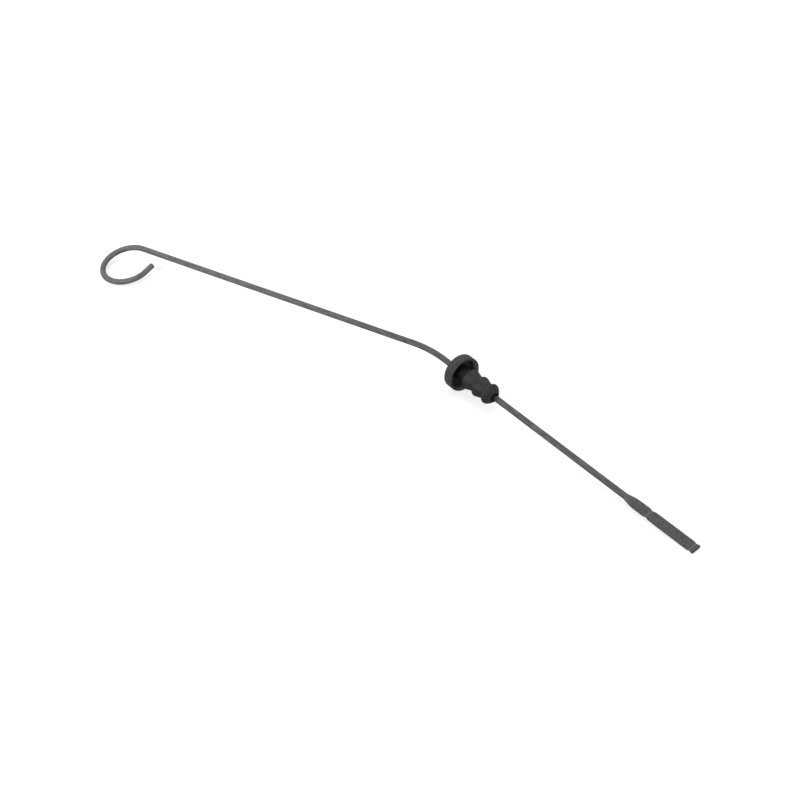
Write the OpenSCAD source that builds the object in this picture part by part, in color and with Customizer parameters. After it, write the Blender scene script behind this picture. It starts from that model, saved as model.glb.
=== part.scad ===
// Engine oil dipstick: a bent steel wire with a finger loop and a coined blade, and a rubber stopper on it.
// It lies on a table on three points: the loop, the rim of the stopper's cap and the tip of the blade.
// Millimetres, +Z up, origin under the middle of its box, the loop towards -X and the blade towards +X.

/* [Wire] */
// Diameter of the wire
wire_d = 3.5; // [3:0.1:4.5]
// Handle side: from the point of the bend to where the loop starts
handle_len = 222; // [150:1:400]
// Tube side: from the point of the bend to the tip of the blade
shank_len = 213.7; // [150:0.1:400]
// Angle that the wire turns through at the bend
bend_angle = 17.55; // [12:0.05:24]
// Radius of the bend on the wire's centre line
bend_r = 80; // [40:1:120]

/* [Finger loop] */
// Radius of the loop on the wire's centre line
loop_r = 15.9; // [13:0.05:22]
// Angle that the loop turns through
loop_arc = 266.7; // [240:0.1:285]
// Straight tail after the loop, up to the cut end
loop_tail = 7; // [2:0.5:10]
// Broken edge on both cut ends of the wire
end_chamfer = 0.25; // [0.1:0.05:0.5]

/* [Blade] */
// Length from where the wire starts to flatten to the tip
blade_len = 51.4; // [46:0.1:70]
// Length of the shoulder between the round wire and the flat
shoulder_len = 9; // [5:0.1:12]
// Width of the blade between the shoulder and the high mark
blade_w = 5.95; // [5:0.05:7]
// Width of the blade from the high mark to the tip, where the die spread it more
blade_tip_w = 6.2; // [5:0.05:7]
// Length over which the blade widens after the high mark
widen_len = 7.5; // [2:0.5:10]
// Thickness of the blade
blade_t = 1.7; // [1.2:0.1:2.2]
// Rounding of the blade's long edges
blade_edge_r = 0.6; // [0.2:0.05:0.6]
// From the tip to the low mark
low_mark = 2.3; // [2.2:0.1:6]
// From the low mark to the high mark
mark_gap = 31.4; // [15:0.1:34]
// Depth of a mark's notch in the blade's edge
notch_depth = 0.42; // [0.2:0.02:0.8]
// Half length of a mark's notch
notch_reach = 2.1; // [1:0.1:2.5]
// Width of a mark's line across the blade
line_w = 0.9; // [0.5:0.1:1.4]
// Depth of a mark's line
line_depth = 0.15; // [0.1:0.05:0.3]

/* [Stopper] */
// From the point of the bend to the rim of the cap
rim_at = 31.5; // [28:0.1:60]
// Diameter of the cap
cap_d = 20.9; // [18:0.1:24]
// Height of the cap
cap_h = 6.5; // [6:0.1:9]
// Thickness of the cap's skirt at the rim
skirt_t = 1.5; // [1:0.1:2]
// Depth of the hollow under the cap
cup_depth = 4.8; // [3:0.1:5]
// Rounding of the cap's edges
cap_round = 1.2; // [0.5:0.1:1.5]
// Diameter of the neck inside the cap
neck_d = 8.8; // [8:0.1:10]
// Diameter over the sealing lips
lip_d = 12.4; // [11:0.1:13]
// Diameter between the sealing lips
lip_root_d = 7.9; // [7:0.1:9]
// Width of the round land on each lip
lip_land = 0.5; // [0.2:0.05:1.2]
// Rounding of each lip's step
lip_round = 0.35; // [0.2:0.05:1]
// From the rim to the first lip
first_lip = 4.45; // [1:0.05:6]
// From the first lip to the second
second_lip = 8.45; // [7:0.05:11]
// From the second lip to the third
third_lip = 8.3; // [6:0.05:10]
// From the third lip to the nose
nose_len = 2.6; // [2:0.1:5]
// Diameter of the nose
nose_d = 10.1; // [8:0.1:10.5]
// Length of the nose's cone
tip_len = 2.3; // [1:0.1:4]
// Diameter at the end of the nose's cone
tip_d = 5.8; // [5.6:0.1:7]
// Diameter of the mouth that the wire comes out of
mouth_d = 4.8; // [4.2:0.1:5]
// Depth of the mouth
mouth_depth = 2; // [0.5:0.1:3]
// Clearance all round between the wire and the stopper's bore
bore_fit = 0.03; // [0.02:0.01:0.1]

/* [Hidden] */

wire_r = wire_d / 2;
turned_fn = 96;

// Lengths along the wire
bend_tangent = bend_r * tan(bend_angle / 2);
blade_from = shank_len - blade_len;
flat_from = blade_from + shoulder_len;

// The loop lies beside the handle's straight, on the inner side of the bend
handle_dir = [-cos(bend_angle), -sin(bend_angle), 0];
handle_side = [sin(bend_angle), -cos(bend_angle), 0];
loop_centre = handle_len * handle_dir + loop_r * handle_side;
bend_centre = [bend_tangent, -bend_r, 0];

// The cap's rim is a round edge: a circle of centres with a radius of its own
rim_round = skirt_t / 2;
rim_circle_r = cap_d / 2 - rim_round;
rim_centre = [rim_at - rim_round, 0, 0];
back_centre = [rim_at - cap_h + cap_round, 0, 0];
tip_centre = [shank_len - end_chamfer, 0, 0];
tip_flat = [0, blade_tip_w / 2 - blade_edge_r, blade_t / 2 - blade_edge_r];

// Distance from a shape's centre to its lowest point, for an up direction u in the wire's own frame
function loop_reach(u) = loop_r * norm([u.x, u.y]) + wire_r;
function rim_reach(u) = rim_circle_r * norm([u.y, u.z]) + rim_round;
function tip_reach(u) = tip_flat.y * abs(u.y) + tip_flat.z * abs(u.z) + blade_edge_r * norm([u.y, u.z]);

// Up direction that puts the loop, the rim and the tip at one height, by repeated correction
function up_step(u) =
    let (
        lift_tip = tip_reach(u) - rim_reach(u),
        lift_loop = loop_reach(u) - rim_reach(u),
        ux = lift_tip / (tip_centre.x - rim_centre.x),
        uy = (lift_loop - (loop_centre.x - rim_centre.x) * ux) / loop_centre.y
    ) [ux, uy, sqrt(1 - ux * ux - uy * uy)];
function settled(u, n) = n == 0 ? u : settled(up_step(u), n - 1);
up = settled([0, 0, 1], 30);

// Turns that take the wire's own frame to the table's
roll = atan2(up.y, up.z);
pitch = -atan2(up.x, norm([up.y, up.z]));
function rolled(p) = [p.x, p.y * cos(roll) - p.z * sin(roll), p.y * sin(roll) + p.z * cos(roll)];
function pitched(p) = [p.x * cos(pitch) + p.z * sin(pitch), p.y, p.z * cos(pitch) - p.x * sin(pitch)];
function laid(p) = pitched(rolled(p));
chord = laid(tip_centre) - laid(loop_centre);
yaw = -atan2(chord.y, chord.x);
function yawed(p) = [p.x * cos(yaw) - p.y * sin(yaw), p.x * sin(yaw) + p.y * cos(yaw), p.z];
function placed(p) = yawed(laid(p));

// The box that the dipstick fills on the table
along = placed([1, 0, 0]);
across = placed([0, 1, 0]);
plane_up = placed([0, 0, 1]);
loop_wide = loop_r * norm([plane_up.y, plane_up.z]) + wire_r;
loop_deep = loop_r * norm([plane_up.x, plane_up.z]) + wire_r;
tip_wide = tip_flat.y * abs(across.x) + tip_flat.z * abs(plane_up.x)
    + (blade_edge_r - end_chamfer) * norm([across.x, plane_up.x]);
rim_high = placed(rim_centre).y + rim_circle_r * norm([along.x, along.z]) + rim_round;
back_high = placed(back_centre).y + (cap_d / 2 - cap_round) * norm([along.x, along.z]) + cap_round;
bend_high = placed(bend_centre).y + bend_r * norm([plane_up.x, plane_up.z]) + wire_r;
low_x = placed(loop_centre).x - loop_wide;
high_x = placed([shank_len, 0, 0]).x + tip_wide;
low_y = placed(loop_centre).y - loop_deep;
high_y = max(rim_high, back_high, bend_high);
table_z = placed(rim_centre).z - rim_reach(up);

// Puts a shape from the wire's own frame onto the table
module on_table() {
    translate([-(low_x + high_x) / 2, -(low_y + high_y) / 2, -table_z])
        rotate([roll, pitch, yaw])
            children();
}

// Smooth rise from 0 to 1 as t goes from 0 to 1
function ease(t) = (1 - cos(180 * t)) / 2;

// The two oil level marks, as stations along the tube side
marks = [shank_len - low_mark - mark_gap, shank_len - low_mark];
function notch(x, at) = abs(x - at) < notch_reach ? notch_depth * ease(1 - abs(x - at) / notch_reach) : 0;
function line(x, at) = abs(x - at) < line_w / 2 ? line_depth * ease(1 - 2 * abs(x - at) / line_w) : 0;

// Half width, half thickness and edge radius at a station: round wire, then the shoulder, then the flat blade
function pressed(x) = pow(sin(90 * min(1, max(0, (x - blade_from) / shoulder_len))), 1.15);
function spread_w(x) = blade_w + (blade_tip_w - blade_w) * ease(min(1, max(0, (x - marks[0]) / widen_len)));
function half_w(x) =
    wire_r + (spread_w(x) / 2 - wire_r) * pressed(x) - notch(x, marks[0]) - notch(x, marks[1]);
function half_t(x) = wire_r + (blade_t / 2 - wire_r) * pressed(x) - line(x, marks[0]) - line(x, marks[1]);
function edge_r(x) = min(half_t(x), wire_r + (blade_edge_r - wire_r) * pressed(x));

// A section of the wire: its place, its heading in the plane, half width, half thickness and edge radius
function section(at, heading, w, t, r) = [at, heading, w, t, r];
function round_section(at, heading, r = wire_r) = section(at, heading, r, r, r);
function flat_section(x, less = 0) =
    section([x, 0], 0, half_w(x) - less, half_t(x) - less, edge_r(x) - less);
function arc(centre, radius, from, to, heading, n) = [
    for (i = [1:n]) let (a = from + (to - from) * i / n)
        round_section(centre + radius * [cos(a), sin(a)], a + heading)
];
function straight(at, heading, distance) = at + distance * [cos(heading), sin(heading)];

loop_steps = ceil(loop_arc / 6);
bend_steps = ceil(bend_angle / 3);
shoulder_steps = 10;
notch_steps = 7;

// The wire from the cut end of the loop to the tip of the blade. Along it the heading falls by the loop's
// arc, stays, falls by the bend and ends along +X
tail_heading = bend_angle + loop_arc;
loop_at = [loop_centre.x, loop_centre.y];
tail_from = loop_at + loop_r * [cos(tail_heading + 90), sin(tail_heading + 90)];
cut_end = straight(tail_from, tail_heading, -loop_tail);
mark_x = [for (at = marks) for (i = [-notch_steps:notch_steps]) at + notch_reach * i / notch_steps];
blade_x = concat(
    [for (i = [0:shoulder_steps]) blade_from + shoulder_len * i / shoulder_steps],
    [for (x = mark_x) if (x < shank_len - 1.5 * end_chamfer) x],
    [shank_len - end_chamfer]
);
wire_path = concat(
    [
        round_section(cut_end, tail_heading, wire_r - end_chamfer),
        round_section(straight(cut_end, tail_heading, end_chamfer), tail_heading),
        round_section(tail_from, tail_heading)
    ],
    arc(loop_at, loop_r, tail_heading + 90, bend_angle + 90, -90, loop_steps),
    [round_section(-bend_tangent * [cos(bend_angle), sin(bend_angle)], bend_angle)],
    arc([bend_centre.x, bend_centre.y], bend_r, bend_angle + 90, 90, -90, bend_steps),
    [for (x = blade_x) flat_section(x)],
    [flat_section(shank_len, end_chamfer)]
);

// Sides of the wire's section: an even number that leaves a flat at the top and at the bottom
wire_sides = 24;

// A ring of points round the wire: four quarter rounds, moved apart to the section's width and thickness
function ring(place) =
    let (at = place[0], heading = place[1], w = place[2], t = place[3], r = place[4])
        [
            for (i = [0:wire_sides - 1])
                let (
                    a = (i + 0.5) * 360 / wire_sides,
                    out = r * cos(a) + (w - r) * sign(cos(a)),
                    high = r * sin(a) + (t - r) * sign(sin(a))
                ) [at.x - out * sin(heading), at.y + out * cos(heading), high]
        ];

// Closed skin over a row of rings
module skin(rings) {
    n = wire_sides;
    last = len(rings) - 1;
    polyhedron(
        points = [for (one = rings) each one],
        faces = concat(
            [[for (i = [0:n - 1]) i]],
            [for (k = [0:last - 1]) for (i = [0:n - 1])
                let (a = k * n + i, b = k * n + (i + 1) % n) each [[a, a + n, b], [b, a + n, b + n]]],
            [[for (i = [n - 1:-1:0]) last * n + i]]
        )
    );
}

module wire() {
    color("dimgray")
        on_table()
            skin([for (place = wire_path) ring(place)]);
}

// Points of a round edge from one angle to another
edge_step = 11.25;
function edge(r, x, radius, from, to) = [
    for (a = [from:edge_step:to]) [r + radius * cos(a), x + radius * sin(a)]
];

// A lip's outline: its rounded step, its land and its taper to the next station
function lip(at, next, next_d) = concat(
    edge(lip_d / 2 - lip_round, at + lip_round, lip_round, -90, 0),
    [[lip_d / 2, at + lip_round + lip_land], [next_d / 2, next]]
);

second_at = first_lip + second_lip;
third_at = second_at + third_lip;
nose_at = third_at + nose_len;
mouth_at = nose_at + tip_len;
bore_r = wire_r + bore_fit;

module stopper() {
    color([0.13, 0.13, 0.13])
        on_table()
            translate([rim_at, 0, 0])
                rotate([0, 90, 0])
                    rotate_extrude($fn = turned_fn)
                        polygon(concat(
                            [[bore_r, -cap_h]],
                            edge(cap_d / 2 - cap_round, -cap_h + cap_round, cap_round, -90, 0),
                            edge(rim_circle_r, -rim_round, rim_round, 0, 180),
                            [
                                [cap_d / 2 - skirt_t, -cup_depth],
                                [neck_d / 2, -cup_depth],
                                [neck_d / 2, first_lip]
                            ],
                            lip(first_lip, second_at, lip_root_d),
                            lip(second_at, third_at, lip_root_d),
                            lip(third_at, nose_at, nose_d),
                            [
                                [tip_d / 2, mouth_at],
                                [mouth_d / 2, mouth_at],
                                [mouth_d / 2, mouth_at - mouth_depth],
                                [bore_r, mouth_at - mouth_depth]
                            ]
                        ));
}

wire();
stopper();
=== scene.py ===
from math import asin, atan2, cos, pi, radians, sin, tan

import bmesh
import bpy
from mathutils import Euler, Matrix, Vector


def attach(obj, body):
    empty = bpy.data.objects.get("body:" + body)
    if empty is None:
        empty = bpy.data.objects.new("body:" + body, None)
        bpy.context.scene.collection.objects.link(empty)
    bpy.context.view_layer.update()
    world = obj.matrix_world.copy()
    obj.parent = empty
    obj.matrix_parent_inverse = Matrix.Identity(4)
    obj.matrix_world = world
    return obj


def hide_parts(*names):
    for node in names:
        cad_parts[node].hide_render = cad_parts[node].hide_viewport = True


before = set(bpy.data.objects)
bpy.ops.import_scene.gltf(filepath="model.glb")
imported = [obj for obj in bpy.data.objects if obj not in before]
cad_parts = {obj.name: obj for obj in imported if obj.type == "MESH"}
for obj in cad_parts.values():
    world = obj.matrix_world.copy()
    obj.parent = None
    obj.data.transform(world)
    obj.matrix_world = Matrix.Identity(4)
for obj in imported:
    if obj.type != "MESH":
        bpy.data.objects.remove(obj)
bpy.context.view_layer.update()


# Camera. It stands a metre off on the blade's side of the dipstick, 36 degrees above the table and turned
# three degrees from level, with a lens that is long for its distance.

camera_lens = bpy.data.cameras.new("camera")
camera_lens.sensor_width = 36
camera_lens.lens = 79.923
camera_lens.clip_start = 0.05
camera = bpy.data.objects.new("camera", camera_lens)
camera.location = (0.576157, -0.595081, 0.594694)
camera.rotation_euler = (radians(53.5511), radians(2.5802), radians(41.5902))
bpy.context.scene.collection.objects.link(camera)
bpy.context.scene.camera = camera
bpy.context.scene.view_settings.view_transform = "Standard"


# Studio. A white table top that runs out of sight, an even white room, a soft lamp on the camera's left and
# level with it, and a larger one above and behind the dipstick, so that its shadow stays soft and close.

class Shade:
    """One socket in a tree of nodes. The operators add Math nodes to it, and node() adds any other kind."""

    def __init__(self, tree, socket=None):
        self.tree = tree
        self.socket = socket

    def node(self, kind, values=None, output=0, **settings):
        made = self.tree.nodes.new("ShaderNode" + kind)
        for name, value in settings.items():
            setattr(made, name, value)
        for name, value in (values or {}).items():
            if isinstance(value, Shade):
                self.tree.links.new(value.socket, made.inputs[name])
            else:
                made.inputs[name].default_value = value
        return Shade(self.tree, made.outputs[output])

    def beside(self, output):
        """Another output of the same node."""
        return Shade(self.tree, self.socket.node.outputs[output])

    def math(self, operation, *others):
        """A Math node on this value and the others, in that order."""
        return self.node("Math", dict(enumerate((self, *others))), operation=operation)

    def __add__(self, other):
        return self.math("ADD", other)

    def __radd__(self, other):
        return self.math("ADD", other)

    def __sub__(self, other):
        return self.math("SUBTRACT", other)

    def __rsub__(self, other):
        return self.node("Math", {0: other, 1: self}, operation="SUBTRACT")

    def __mul__(self, other):
        return self.math("MULTIPLY", other)

    def __rmul__(self, other):
        return self.math("MULTIPLY", other)

    def __truediv__(self, other):
        return self.math("DIVIDE", other)

    def between(self, low, high):
        """0 below low, 1 above high and smooth from one to the other."""
        return self.node("MapRange", {0: self, 1: low, 2: high}, interpolation_type="SMOOTHSTEP")

    def band(self, starts, full, fades, ends):
        """1 from full to fades, 0 outside starts and ends, and smooth from one to the other."""
        return self.between(starts, full) * (1 - self.between(fades, ends))

    def blend(self, one, other):
        """A colour that goes from one to the other as this value goes from 0 to 1."""
        return self.node("Mix", {0: self, 6: one, 7: other}, output=2, data_type="RGBA")

    def noise(self, scale, detail, roughness):
        """Cloudy noise at the points that this vector gives."""
        values = {"Vector": self, "Scale": scale, "Detail": detail, "Roughness": roughness}
        return self.node("TexNoise", values)

    def stretched(self, factors):
        return self.node("VectorMath", {0: self, 1: factors}, operation="MULTIPLY")


def new_material(name):
    """A bare material, and a Shade to start its nodes from."""
    material = bpy.data.materials.new(name)
    material.use_nodes = True
    material.node_tree.nodes.clear()
    return material, Shade(material.node_tree)


def finish_material(surface):
    """Makes this shader the surface of its material."""
    end = surface.tree.nodes.new("ShaderNodeOutputMaterial")
    surface.tree.links.new(surface.socket, end.inputs["Surface"])


table_mesh = bpy.data.meshes.new("table_top")
table = bmesh.new()
bmesh.ops.create_grid(table, x_segments=1, y_segments=1, size=6)
table.to_mesh(table_mesh)
table.free()
table_top = bpy.data.objects.new("table_top", table_mesh)
bpy.context.scene.collection.objects.link(table_top)

# The table adds a glow of its own for the camera alone, so that it looks white without lighting the dipstick
white, shade = new_material("table_white")
paint = shade.node("BsdfDiffuse", {"Color": (0.6, 0.6, 0.6, 1)})
glow = shade.node("Emission", {"Color": (1, 1, 1, 1), "Strength": 0.6})
seen = shade.node("LightPath", output="Is Camera Ray")
lit = shade.node("AddShader", {0: paint, 1: glow})
finish_material(shade.node("MixShader", {0: seen, 1: paint, 2: lit}))
table_mesh.materials.append(white)

# The room is full white where it is seen, mirrored or looked through, and gives half of that as light
room = bpy.data.worlds.new("room")
room.use_nodes = True
room.node_tree.nodes.clear()
shade = Shade(room.node_tree)
seen = shade.node("LightPath", output="Is Camera Ray")
mirrored = seen.beside("Is Glossy Ray")
through = seen.beside("Is Transmission Ray")
looked_at = seen.math("MAXIMUM", mirrored).math("MAXIMUM", through)
sky = shade.node("Background", {"Color": (1, 1, 1, 1), "Strength": 0.5 + 0.5 * looked_at})
end = room.node_tree.nodes.new("ShaderNodeOutputWorld")
room.node_tree.links.new(sky.socket, end.inputs["Surface"])
bpy.context.scene.world = room

for lamp_name, lamp_at, size, watts in [
    ("lamp_left", (0.05, -1.0, 0.6), 0.4, 7.0),
    ("lamp_above", (-0.1, 0.4, 1.4), 0.9, 5.5),
]:
    lamp_data = bpy.data.lights.new(lamp_name, "AREA")
    lamp_data.size = size
    lamp_data.energy = watts
    lamp = bpy.data.objects.new(lamp_name, lamp_data)
    lamp.location = lamp_at
    lamp.rotation_euler = (-Vector(lamp_at)).to_track_quat("-Z", "Y").to_euler()
    bpy.context.scene.collection.objects.link(lamp)


# Wire. One length of 3.5 mm steel wire, drawn, phosphated and bent cold: a finger loop, the handle, one
# gentle bend and the tube side. Its end is coined flat between dies, which also strike a line across both
# faces and nick both edges at the low and at the high oil level.

mm = 0.001
wire_r = 1.75
ring_sides = 48
handle_len = 222.0
shank_len = 213.7
bend_angle = radians(17.55)
bend_r = 80.0
loop_r = 15.9
loop_arc = radians(266.7)
loop_tail = 7.0
cut_edge = 0.25

# The blade, measured along the tube side from the corner of the bend, with the marks counted from the tip
blade_len = 51.4
shoulder_len = 9.0
shoulder_curve = 1.15
blade_from = shank_len - blade_len
flat_from = blade_from + shoulder_len
blade_half = 2.975
tip_half = 3.1
widen_len = 7.5
half_thick = 0.85
long_edge_r = 0.6
high_mark = 33.7
low_mark = 2.3
level_marks = (shank_len - high_mark, shank_len - low_mark)
nick_depth = 0.42
nick_reach = 2.1
struck_half = 0.45
struck_depth = 0.15

# Where the flat drawing of the wire lies in the room: the loop, the cap's rim and the tip touch the table
lie_at = Vector((0.0131442, 0.0259381, 0.0119653))
lie_turn = Euler((radians(12.028), radians(2.8469), radians(-10.8072)))
lying = Matrix.LocRotScale(lie_at, lie_turn, Vector((mm, mm, mm)))

# Each vertex keeps its length along the wire and its place in the round section, for the material
wire = bmesh.new()
grain = wire.verts.layers.float_vector.new("grain")


def pushed(ring, distance, matrix, centre=(0, 0, 0)):
    """Draws the open end of the wire on by one step, and returns its new end."""
    grown = bmesh.ops.extrude_edge_only(wire, edges=ring)["geom"]
    verts = [g for g in grown if isinstance(g, bmesh.types.BMVert)]
    edges = [g for g in grown if isinstance(g, bmesh.types.BMEdge)]
    bmesh.ops.transform(wire, matrix=matrix, space=Matrix.Translation(-Vector(centre)), verts=verts)
    for v in verts:
        v[grain] = v[grain] + Vector((distance, 0, 0))
    return edges


def straight(ring, heading, length, steps):
    for i in range(steps):
        step = length / steps
        ring = pushed(ring, step, Matrix.Translation((step * cos(heading), step * sin(heading), 0)))
    return ring


def curved(ring, centre, radius, angle, steps):
    for i in range(steps):
        ring = pushed(ring, radius * angle / steps, Matrix.Rotation(-angle / steps, 4, "Z"), centre)
    return ring


def ring_verts(ring):
    return list({v for e in ring for v in e.verts})


def eased(t):
    return (1 - cos(pi * min(1, max(0, t)))) / 2


def coined(ring, x, less=0.0):
    """Shapes a ring of the tube side as the dies do: round wire, shoulder, then flat with rounded edges."""
    down_shoulder = min(1, max(0, (x - blade_from) / (flat_from - blade_from)))
    share = sin(pi / 2 * down_shoulder) ** shoulder_curve
    spread = blade_half + (tip_half - blade_half) * eased((x - level_marks[0]) / widen_len)
    w = wire_r + (spread - wire_r) * share
    t = wire_r + (half_thick - wire_r) * share
    for mark in level_marks:
        off = abs(x - mark)
        w -= nick_depth * eased(1 - off / nick_reach)
        t -= struck_depth * eased(2 * (1 - off / struck_half))
    r = min(t, wire_r + (long_edge_r - wire_r) * share)
    w -= less
    t -= less
    r -= less
    for v in ring_verts(ring):
        angle = atan2(v[grain].z, v[grain].y)
        side = 1 if cos(angle) > 0 else -1
        face = 1 if sin(angle) > 0 else -1
        quarter = asin(min(1, abs(sin(angle))))
        round_at = Vector(((w - r) + r * cos(quarter), (t - r) + r * sin(quarter)))
        edge_angle = min(pi / 2, quarter / (pi / 4) * pi / 2)
        flat_at = Vector(((w - r) + r * cos(edge_angle), (t - r) + r * sin(edge_angle)))
        if quarter > pi / 4:
            flat_at.x = (w - r) * (pi / 2 - quarter) / (pi / 4)
        v.co.y = side * ((1 - share) * round_at.x + share * flat_at.x)
        v.co.z = face * ((1 - share) * round_at.y + share * flat_at.y)


# The cut end inside the loop
bend_tangent = bend_r * tan(bend_angle / 2)
loop_start = Vector((-cos(bend_angle), -sin(bend_angle), 0)) * handle_len
loop_centre = loop_start + Vector((sin(bend_angle), -cos(bend_angle), 0)) * loop_r
tail_heading = bend_angle + loop_arc
tail_start = loop_centre + Vector((-sin(tail_heading), cos(tail_heading), 0)) * loop_r
cut_end = tail_start - Vector((cos(tail_heading), sin(tail_heading), 0)) * loop_tail
circle = bmesh.ops.create_circle(wire, cap_ends=False, segments=ring_sides, radius=wire_r)["verts"]
for v in circle:
    v[grain] = Vector((0, v.co.x, v.co.y))
upright = Matrix(((0, 0, 1), (1, 0, 0), (0, 1, 0))).to_4x4()
to_cut_end = Matrix.Translation(cut_end) @ Matrix.Rotation(tail_heading, 4, "Z") @ upright
bmesh.ops.transform(wire, matrix=to_cut_end, verts=circle)
end_ring = list({e for v in circle for e in v.link_edges})
ring = straight(end_ring, tail_heading, cut_edge, 1)
smaller = Vector((1, 1, 1)) * (1 - cut_edge / wire_r)
bmesh.ops.scale(wire, vec=smaller, space=Matrix.Translation(-cut_end), verts=circle)
loop_face = bmesh.ops.contextual_create(wire, geom=end_ring)["faces"]

# The loop, the handle, the bend and the tube side
ring = straight(ring, tail_heading, loop_tail - cut_edge, 4)
ring = curved(ring, loop_centre, loop_r, loop_arc, 90)
ring = straight(ring, bend_angle, handle_len - bend_tangent, 24)
ring = curved(ring, Vector((bend_tangent, -bend_r, 0)), bend_r, bend_angle, 18)
ring = straight(ring, 0, blade_from - bend_tangent, 18)

# The blade, with its rings close together on the shoulder and at the marks
stations = [blade_from + (flat_from - blade_from) * i / 30 for i in range(1, 31)]
stations += [flat_from + i for i in range(1, 12)]
for mark in level_marks:
    stations += [mark + nick_reach * i / 20 for i in range(-20, 21)]
stations += [level_marks[0] + nick_reach + i for i in range(1, 28)]
stations += [shank_len - cut_edge]
shortest_step = 0.04
at = blade_from
for x in sorted(stations):
    if x - at > shortest_step and x <= shank_len - cut_edge:
        ring = pushed(ring, x - at, Matrix.Translation((x - at, 0, 0)))
        coined(ring, x)
        at = x
ring = pushed(ring, shank_len - at, Matrix.Translation((shank_len - at, 0, 0)))
coined(ring, shank_len, cut_edge)
tip_face = bmesh.ops.contextual_create(wire, geom=ring)["faces"]

bmesh.ops.recalc_face_normals(wire, faces=wire.faces)
for face in wire.faces:
    face.smooth = True
for face in loop_face + tip_face:
    face.smooth = False
    for edge in face.edges:
        edge.smooth = False
bmesh.ops.transform(wire, matrix=lying, verts=wire.verts)
wire_mesh = bpy.data.meshes.new("dipstick_wire")
wire.to_mesh(wire_mesh)
wire.free()
dipstick_wire = bpy.data.objects.new("dipstick_wire", wire_mesh)
bpy.context.scene.collection.objects.link(dipstick_wire)

# Phosphated steel: matt grey, with fine die lines, cloudy streaks and specks. It darkens towards the blade,
# where oil has soaked in, and the struck lines show brighter metal. A point's station is its length along the
# wire from the cut end inside the loop
steel, shade = new_material("phosphated_wire")
along = shade.node("Attribute", output="Vector", attribute_name="grain")
station = along.node("SeparateXYZ", {0: along})
die_lines = along.stretched((0.12, 3.2, 3.2)).noise(1.0, 4.0, 0.6)
clouds = along.stretched((0.12, 0.8, 0.8)).noise(1.0, 5.0, 0.62)
on_wire = shade.node("TexCoord", output="Object")
specks = on_wire.noise(850.0, 3.0, 0.7)
whole_len = loop_tail + loop_r * loop_arc + handle_len + shank_len - 2 * bend_tangent + bend_r * bend_angle
bend_corner = whole_len - shank_len
blade_share = station.between(whole_len - 51, whole_len - 44)
struck = 0
for mark in level_marks:
    from_mark = (station - (bend_corner + mark)).math("ABSOLUTE")
    struck = struck + (1 - from_mark.between(0.3, 0.6))

drawn_grey = (0.166, 0.171, 0.166, 1)
oiled_grey = (0.1, 0.104, 0.099, 1)
blade_grey = (0.078, 0.081, 0.077, 1)
pale_streak = (0.23, 0.234, 0.228, 1)
dark_streak = (0.05, 0.051, 0.048, 1)
speck_grey = (0.034, 0.035, 0.032, 1)
bright_steel = (0.19, 0.193, 0.187, 1)
grey = station.between(120, whole_len - 190).blend(drawn_grey, oiled_grey)
grey = blade_share.blend(grey, blade_grey)
grey = (clouds.between(0.48, 0.66) * (0.4 - 0.34 * blade_share)).blend(grey, pale_streak)
grey = ((1 - clouds.between(0.36, 0.5)) * (0.45 - 0.3 * blade_share)).blend(grey, dark_streak)
grey = (specks.between(0.46, 0.62) * (0.35 + 0.3 * blade_share)).blend(grey, speck_grey)
grey = (struck * 0.4).blend(grey, bright_steel)

# The wire is darker around where it leaves the stopper, and painted shade blackens it in the stopper's
# mouth. The cap's rim is counted from the corner of the bend, and the tip of the nose from that rim
rim_at = 31.5
nose_tip = 26.1
nose_end = bend_corner + rim_at + nose_tip
nose_dark_grey = (0.022, 0.021, 0.018, 1)
mouth_shade_black = (0.003, 0.003, 0.0025, 1)
# The wire is painted darker from inside the stopper to a few millimetres past its nose
nose_band = station.band(nose_end - 9, nose_end - 8, nose_end + 1.5, nose_end + 5)
# Painted shade: the wire is painted near black in and just past the stopper's mouth
mouth_shade = station.band(nose_end - 2.5, nose_end - 1.5, nose_end + 0.5, nose_end + 1.5)
grey = (nose_band * 0.9).blend(grey, nose_dark_grey)
grey = mouth_shade.blend(grey, mouth_shade_black)

height = die_lines * 0.5 + specks * 0.3 + clouds * 0.2
metal = shade.node("BsdfPrincipled", {
    "Base Color": grey,
    "Metallic": 0.15,
    "Roughness": 0.46 + 0.16 * clouds - 0.08 * struck,
    "Specular IOR Level": 0.2,
    "Normal": shade.node("Bump", {"Strength": 0.35, "Distance": 0.00006, "Height": height}),
})
finish_material(metal)
wire_mesh.materials.append(steel)
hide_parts("wire")
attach(dipstick_wire, "root")


# Stopper. One black rubber moulding, gripped on the wire below the bend: a cap whose hollow underside goes
# over the mouth of the tube, a neck, and three lips that taper towards the blade and seal in the tube. A fine
# seam runs along both sides, where the two halves of its mould met.

bore_r = 1.755
cap_r = 10.45
cap_h = 6.5
cup_r = 8.95
cup_depth = 4.8
neck_r = 4.4
draft = 0.1
lips = (4.45, 12.9, 21.2)
lip_r = 6.2
lip_land = 0.85
lip_root_r = 3.95
nose_from = 23.8
nose_r = 5.05
tip_r = 2.9
mouth_r = 2.4
mouth_floor = nose_tip - 2

# The outline from the cap's back to the mouth's floor, as distance past the cap's rim and radius
outline = [
    (-cap_h, bore_r),
    (-cap_h, cap_r),
    (0, cap_r),
    (0, cup_r),
    (-cup_depth, cup_r - draft),
    (-cup_depth, neck_r + draft),
    (lips[0], neck_r),
    (lips[0], lip_r),
    (lips[0] + lip_land, lip_r),
    (lips[1], lip_root_r),
    (lips[1], lip_r),
    (lips[1] + lip_land, lip_r),
    (lips[2], lip_root_r),
    (lips[2], lip_r),
    (lips[2] + lip_land, lip_r),
    (nose_from, nose_r),
    (nose_tip, tip_r),
    (nose_tip, mouth_r),
    (mouth_floor, mouth_r),
    (mouth_floor, bore_r),
]

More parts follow.
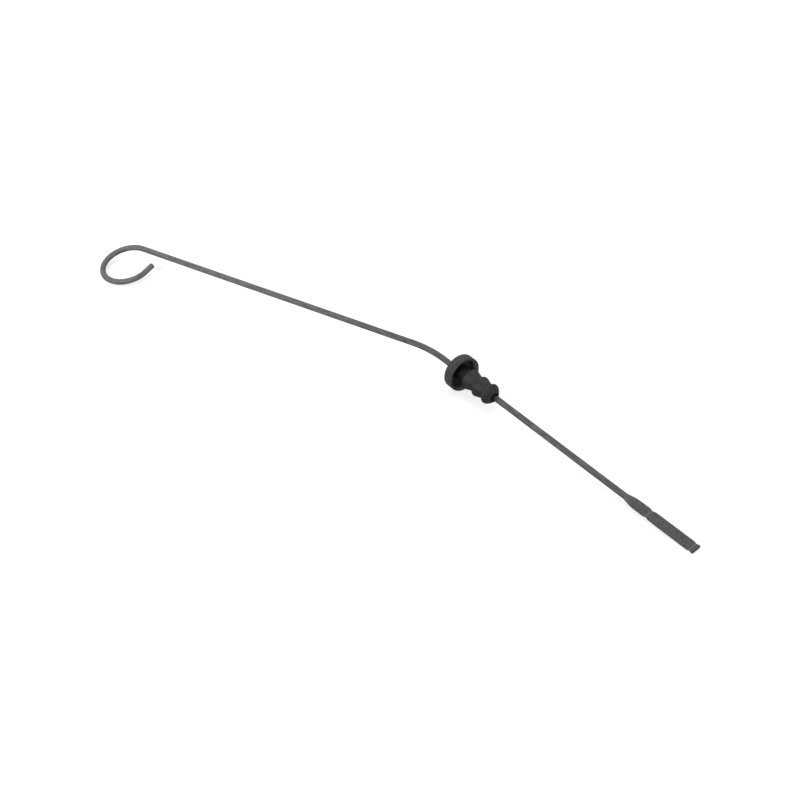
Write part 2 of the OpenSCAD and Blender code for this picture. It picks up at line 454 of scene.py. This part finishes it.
# Each rounding, with the corners of the outline that have it
roundings = [
    (0.3, (0, 6, 9, 12)),
    (1.2, (1,)),
    (0.7, (2, 3)),
    (0.5, (4, 5, 15)),
    (0.35, (7, 8, 10, 11, 13, 14)),
    (0.15, (16, 17)),
]


def on_circle(vert, corner, slack):
    """Whether the vertex lies on the circle that this corner of the outline draws round the wire."""
    x, r = corner
    return abs(vert.co.x - x) < slack and abs(vert.co.yz.length - r) < slack


stopper = bmesh.new()
corners = [bmesh.ops.create_vert(stopper, co=(x, 0, r))["vert"][0] for x, r in outline]
sides = [stopper.edges.new((a, b)) for a, b in zip(corners, corners[1:])]
bmesh.ops.spin(
    stopper,
    geom=corners + sides,
    cent=(0, 0, 0),
    axis=(1, 0, 0),
    angle=2 * pi,
    steps=96,
    use_merge=True,
)
bmesh.ops.remove_doubles(stopper, verts=stopper.verts, dist=0.0005)
bore_ends = {v for v in stopper.verts if any(on_circle(v, outline[i], 0.001) for i in (0, -1))}
bore_edges = [e for e in stopper.edges if all(v in bore_ends for v in e.verts)]
bmesh.ops.bridge_loops(stopper, edges=bore_edges)
bmesh.ops.recalc_face_normals(stopper, faces=stopper.faces)
for rounding, places in roundings:
    for i in places:
        around = [e for e in stopper.edges if all(on_circle(v, outline[i], 0.002) for v in e.verts)]
        bmesh.ops.bevel(
            stopper,
            geom=around,
            offset=rounding,
            offset_type="OFFSET",
            segments=5,
            profile=0.5,
            affect="EDGES",
            clamp_overlap=True,
            material=-1,
        )

# The mould's seam: three cuts side by side, with the middle one raised where it is on the outside
seam_half = 0.14
seam_height = 0.07
for off in (-seam_half, 0, seam_half):
    everything = list(stopper.verts) + list(stopper.edges) + list(stopper.faces)
    bmesh.ops.bisect_plane(stopper, geom=everything, dist=0.0005, plane_co=(0, 0, off), plane_no=(0, 0, 1))
stopper.normal_update()
for v in stopper.verts:
    out = Vector((0, v.co.y, v.co.z))
    on_middle = abs(v.co.z) < 0.01 and out.length > 3.6
    in_cup = -cup_depth - 0.1 < v.co.x < -0.3 and out.length < cup_r + 0.25
    if on_middle and not in_cup and v.normal.dot(out.normalized()) > 0.2:
        v.co += v.normal * seam_height

for face in stopper.faces:
    face.smooth = True
bmesh.ops.translate(stopper, vec=(rim_at, 0, 0), verts=stopper.verts)
bmesh.ops.transform(stopper, matrix=lying, verts=stopper.verts)
stopper_mesh = bpy.data.meshes.new("tube_stopper")
stopper.to_mesh(stopper_mesh)
stopper.free()
tube_stopper = bpy.data.objects.new("tube_stopper", stopper_mesh)
bpy.context.scene.collection.objects.link(tube_stopper)

# Matt black rubber with the mould's fine grain. The cap is greyed by dust. Painted shade darkens the lips
# and blackens the neck under the cap, and painted light makes the inside of the skirt pale
rubber, shade = new_material("black_rubber")
on_stopper = shade.node("TexCoord", output="Object")
skin = on_stopper.noise(2600.0, 3.0, 0.6)
dust = on_stopper.noise(420.0, 4.0, 0.65)

# How far a point of the stopper is past the cap's rim, and how far from the wire's axis
down_tube = shade.node(
    "Mapping",
    {"Vector": on_stopper, "Location": lie_at, "Rotation": lie_turn},
    vector_type="TEXTURE",
)
down = shade.node("SeparateXYZ", {0: down_tube}, output="X")
depth = down / mm - rim_at
sideways = down.beside("Y") / mm
upward = down.beside("Z") / mm
off_axis = (sideways * sideways + upward * upward).math("SQRT")

# Painted shade: from the cap's rim towards the lips the rubber is painted darker than the cap
past_rim_shade = depth.between(0, 4)
bare_with_shade = past_rim_shade.blend((0.024, 0.024, 0.025, 1), (0.006, 0.006, 0.0061, 1))
dusty_with_shade = past_rim_shade.blend((0.052, 0.052, 0.053, 1), (0.023, 0.023, 0.0231, 1))
neck_shade_black = (0.004, 0.004, 0.0043, 1)
skirt_light_grey = (0.14, 0.14, 0.14, 1)
# Painted shade: the neck in the cap's hollow is painted near black
neck_shade = (1 - off_axis.between(4.6, 5.2)) * depth.band(-5.4, -5, 2.5, 4.4)
# Painted light: the inner wall of the cap's skirt is painted pale, where the hollow's far wall looks lit
skirt_light = off_axis.band(8.6, 8.7, 9.1, 9.4) * depth.between(-4.8, -2.5)
black = dust.between(0.38, 0.68).blend(bare_with_shade, dusty_with_shade)
black = neck_shade.blend(black, neck_shade_black)
black = skirt_light.blend(black, skirt_light_grey)
height = skin * 0.6 + dust * 0.4
soft = shade.node("BsdfPrincipled", {
    "Base Color": black,
    "Roughness": 0.52 + 0.16 * dust,
    "Specular IOR Level": 0.32,
    "Normal": shade.node("Bump", {"Strength": 0.4, "Distance": 0.0001, "Height": height}),
})
finish_material(soft)
stopper_mesh.materials.append(rubber)
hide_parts("stopper")
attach(tube_stopper, "root")
